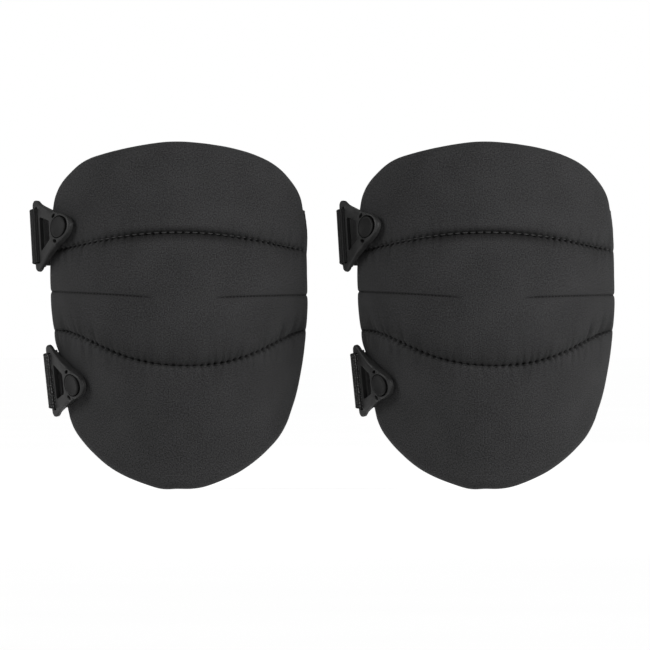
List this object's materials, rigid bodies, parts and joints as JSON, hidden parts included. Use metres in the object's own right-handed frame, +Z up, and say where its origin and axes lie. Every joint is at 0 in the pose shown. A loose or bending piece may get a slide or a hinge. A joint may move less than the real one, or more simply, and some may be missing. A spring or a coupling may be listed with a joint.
{
  "type": "knee pads",
  "caption": "Pair of soft, quilted knee pads with a woven cover over foam, each held on the leg by two elastic straps that clip over buttons at one side.",
  "frame": {"origin": "knee point of the left pad, at the middle of the lining's face that rests on the wearer's knee", "axes": "+Z up the leg, -Y forwards out of the pads' outer faces, +X from the left pad to the right pad as seen from the front"},
  "size_m": [0.3987, 0.1698, 0.2342],
  "materials": {
    "cover_nylon": "matte plain weave",
    "lining_knit": "brushed knit",
    "binding_tape": "ribbed tape",
    "foam": "closed-cell foam",
    "webbing": "ribbed elastic webbing",
    "clip_plastic": "satin moulded",
    "washer_steel": "brushed"
  },
  "bodies": {
    "left_upper_button": {"left_upper_button_stud": "clip_plastic"},
    "left_upper_clip": {"left_upper_clip": "clip_plastic", "left_upper_strap_loop": "webbing"},
    "left_upper_adjuster": {"left_upper_adjuster": "clip_plastic"},
    "left_lower_button": {"left_lower_button_stud": "clip_plastic"},
    "left_lower_clip": {"left_lower_clip": "clip_plastic", "left_lower_strap_loop": "webbing"},
    "left_lower_adjuster": {"left_lower_adjuster": "clip_plastic"},
    "left_pad": {"left_cover": "cover_nylon", "left_lining": "lining_knit", "left_binding": "binding_tape", "left_foam_thigh": "foam", "left_foam_knee": "foam", "left_foam_shin": "foam", "left_upper_button_base": "clip_plastic", "left_upper_button_washer": "washer_steel", "left_upper_strap": "webbing", "left_upper_strap_tail": "webbing", "left_upper_anchor_tab": "binding_tape", "left_lower_button_base": "clip_plastic", "left_lower_button_washer": "washer_steel", "left_lower_strap": "webbing", "left_lower_strap_tail": "webbing", "left_lower_anchor_tab": "binding_tape"},
    "right_upper_button": {"right_upper_button_stud": "clip_plastic"},
    "right_upper_clip": {"right_upper_clip": "clip_plastic", "right_upper_strap_loop": "webbing"},
    "right_upper_adjuster": {"right_upper_adjuster": "clip_plastic"},
    "right_lower_button": {"right_lower_button_stud": "clip_plastic"},
    "right_lower_clip": {"right_lower_clip": "clip_plastic", "right_lower_strap_loop": "webbing"},
    "right_lower_adjuster": {"right_lower_adjuster": "clip_plastic"},
    "right_pad": {"right_cover": "cover_nylon", "right_lining": "lining_knit", "right_binding": "binding_tape", "right_foam_thigh": "foam", "right_foam_knee": "foam", "right_foam_shin": "foam", "right_upper_button_base": "clip_plastic", "right_upper_button_washer": "washer_steel", "right_upper_strap": "webbing", "right_upper_strap_tail": "webbing", "right_upper_anchor_tab": "binding_tape", "right_lower_button_base": "clip_plastic", "right_lower_button_washer": "washer_steel", "right_lower_strap": "webbing", "right_lower_strap_tail": "webbing", "right_lower_anchor_tab": "binding_tape"}
  },
  "joints": [
    {"name": "left_upper_swivel", "type": "hinge", "parent": "left_pad", "child": "left_upper_button", "pos_m": [-0.07739, 0.03074, 0.05974], "axis": [-0.7695, -0.626, 0.1266], "range_deg": [-12, 8]},
    {"name": "left_upper_unclip", "type": "slide", "parent": "left_upper_button", "child": "left_upper_clip", "axis": [-0.7695, -0.626, 0.1266], "range_m": [0, 0.012]},
    {"name": "left_upper_adjust", "type": "hinge", "parent": "left_pad", "child": "left_upper_adjuster", "pos_m": [-0.0052, 0.04311, 0.05354], "axis": [0, 0, 1], "range_deg": [-8, 20]},
    {"name": "left_lower_swivel", "type": "hinge", "parent": "left_pad", "child": "left_lower_button", "pos_m": [-0.06807, 0.03346, -0.04578], "axis": [-0.7934, -0.5749, -0.2], "range_deg": [-2, 12]},
    {"name": "left_lower_unclip", "type": "slide", "parent": "left_lower_button", "child": "left_lower_clip", "axis": [-0.7934, -0.5749, -0.2], "range_m": [0, 0.012]},
    {"name": "left_lower_adjust", "type": "hinge", "parent": "left_pad", "child": "left_lower_adjuster", "pos_m": [-0.0104, 0.04725, -0.04351], "axis": [0, 0, 1], "range_deg": [-8, 20]},
    {"name": "right_upper_swivel", "type": "hinge", "parent": "right_pad", "child": "right_upper_button", "pos_m": [0.13161, 0.03074, 0.05974], "axis": [-0.7695, -0.626, 0.1266], "range_deg": [-12, 8]},
    {"name": "right_upper_unclip", "type": "slide", "parent": "right_upper_button", "child": "right_upper_clip", "axis": [-0.7695, -0.626, 0.1266], "range_m": [0, 0.012]},
    {"name": "right_upper_adjust", "type": "hinge", "parent": "right_pad", "child": "right_upper_adjuster", "pos_m": [0.2038, 0.04311, 0.05354], "axis": [0, 0, 1], "range_deg": [-8, 20]},
    {"name": "right_lower_swivel", "type": "hinge", "parent": "right_pad", "child": "right_lower_button", "pos_m": [0.14093, 0.03346, -0.04578], "axis": [-0.7934, -0.5749, -0.2], "range_deg": [-2, 12]},
    {"name": "right_lower_unclip", "type": "slide", "parent": "right_lower_button", "child": "right_lower_clip", "axis": [-0.7934, -0.5749, -0.2], "range_m": [0, 0.012]},
    {"name": "right_lower_adjust", "type": "hinge", "parent": "right_pad", "child": "right_lower_adjuster", "pos_m": [0.1986, 0.04725, -0.04351], "axis": [0, 0, 1], "range_deg": [-8, 20]},
    {"name": "pair_spread", "type": "slide", "parent": "left_pad", "child": "right_pad", "axis": [1, 0, 0], "range_m": [-0.012, 0.02]}
  ]
}
